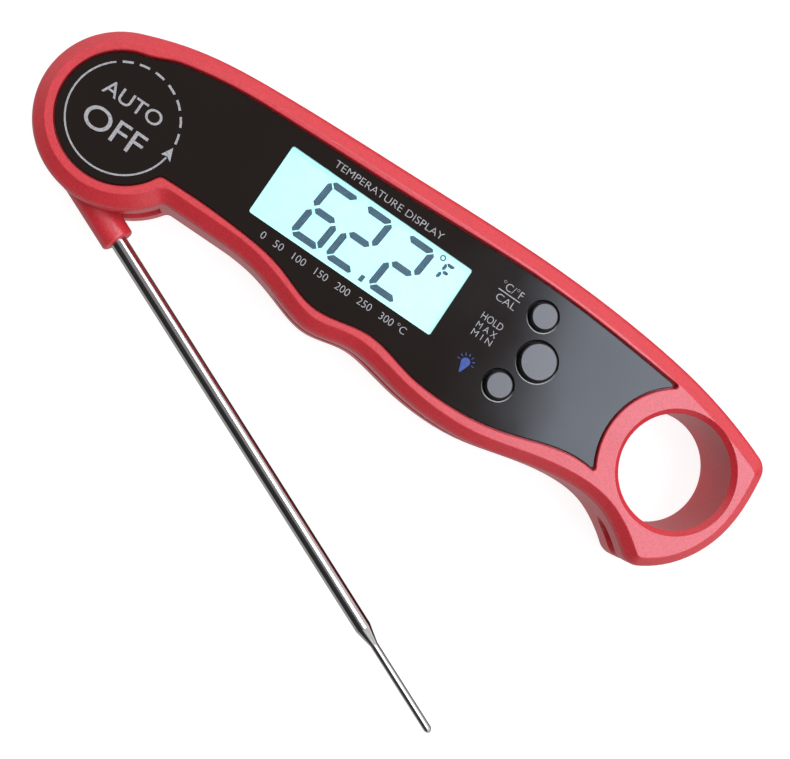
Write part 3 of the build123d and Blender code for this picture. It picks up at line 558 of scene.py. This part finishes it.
def area_light(name, size, glow, colour):
    """Rectangular light that faces down, given by the brightness of its surface."""
    lamp = bpy.data.lights.new(name, "AREA")
    lamp.shape = "RECTANGLE"
    lamp.size, lamp.size_y = size
    lamp.color = colour
    lamp.energy = glow * pi * size[0] * size[1]
    holder = bpy.data.objects.new(name, lamp)
    bpy.context.scene.collection.objects.link(holder)
    return holder


def softbox():
    """Light above the ring end; its near edge shows in the face plate beside the buttons."""
    away = Vector((*polar(1, SOFTBOX_TURN), 0))
    beside = Vector((*polar(1, SOFTBOX_TURN + 90), 0))
    edge = Vector((*SOFTBOX_EDGE, SOFTBOX_HIGH))
    box = area_light("softbox", (SOFTBOX_DEEP, SOFTBOX_LONG), SOFTBOX_GLOW, SOFTBOX_COLOUR)
    box.location = edge + away * SOFTBOX_DEEP / 2 + beside * SOFTBOX_SHIFT
    box.rotation_euler = (0, 0, radians(SOFTBOX_TURN))


def fill_light():
    """Even light from above that leaves no reflection."""
    fill = area_light("fill", (FILL_SIDE, FILL_SIDE), FILL_GLOW, FILL_COLOUR)
    fill.location = (0, 0, FILL_HIGH)
    fill.visible_glossy = False


def panel(name, size, finish):
    """Flat rectangle about the origin, for the studio."""
    mesh = bpy.data.meshes.new(name)
    x, y = size[0] / 2, size[1] / 2
    mesh.from_pydata([(-x, -y, 0), (x, -y, 0), (x, y, 0), (-x, y, 0)], [], [(0, 1, 2, 3)])
    mesh.materials.append(finish)
    made = bpy.data.objects.new(name, mesh)
    bpy.context.scene.collection.objects.link(made)
    return made


def shade_below(world, direction, height):
    """Darkens the surround below the horizon on the side that the probe's far flank reflects."""
    beside = maths(world, "GREATER_THAN", facing(world, direction, SHADE_HEADING), SHADE_EDGE)
    below = maths(world, "LESS_THAN", height, SHADE_TOP)
    lit = maths(world, "SUBTRACT", 1.0, maths(world, "MULTIPLY", beside, below))
    world.node_tree.links.new(lit, world.node_tree.nodes["Background"].inputs["Strength"])


def surround():
    """Pale surround that darkens overhead and is dark low down on one side."""
    world = bpy.data.worlds.new("surround")
    bpy.context.scene.world = world
    world.use_nodes = True
    nodes, links = world.node_tree.nodes, world.node_tree.links
    place = nodes.new("ShaderNodeTexCoord")
    split = nodes.new("ShaderNodeSeparateXYZ")
    ramp = nodes.new("ShaderNodeValToRGB")
    stops = ramp.color_ramp.elements
    for position, _ in SURROUND[1:-1]:
        stops.new(position)
    for stop, (position, grey) in zip(stops, SURROUND):
        stop.position = position
        stop.color = (grey, grey * SURROUND_GREEN, grey, 1)
    links.new(place.outputs["Generated"], split.inputs["Vector"])
    links.new(split.outputs["Z"], ramp.inputs["Fac"])
    links.new(ramp.outputs["Color"], nodes["Background"].inputs["Color"])
    shade_below(world, place.outputs["Generated"], split.outputs["Z"])


def studio():
    """Pale floor, lights, dark card and surround."""
    pale = material("floor_pale", (0.2, 0.2, 0.198), 0.9, Emission_Strength=FLOOR_GLOW)
    floor = panel("floor", (FLOOR_SIDE, FLOOR_SIDE), pale)
    floor.location.z = -FLOOR_DROP * MM
    floor.visible_glossy = False
    black = material("card_black", (0.01, 0.01, 0.01), 0.9)
    card = panel("dark_card", (CARD_HIGH, CARD_LONG), black)
    card.location = (*polar(CARD_AWAY, CARD_HEADING), CARD_HIGH / 2)
    card.rotation_euler = (0, radians(90), radians(CARD_HEADING))
    card.visible_camera = False
    softbox()
    fill_light()
    surround()
    bpy.context.scene.view_settings.view_transform = "Standard"


def camera():
    """Camera at the photograph's place, looking down on the face."""
    lens = bpy.data.cameras.new("camera")
    lens.lens = CAMERA_LENS
    lens.clip_start, lens.clip_end = CAMERA_CLIP
    holder = bpy.data.objects.new("camera", lens)
    holder.location = CAMERA_AT
    holder.rotation_euler = [radians(turn) for turn in CAMERA_TURN]
    bpy.context.scene.collection.objects.link(holder)
    bpy.context.scene.camera = holder


dress_outside()
dress_inside()
face_prints()
display_marks()
studio()
camera()
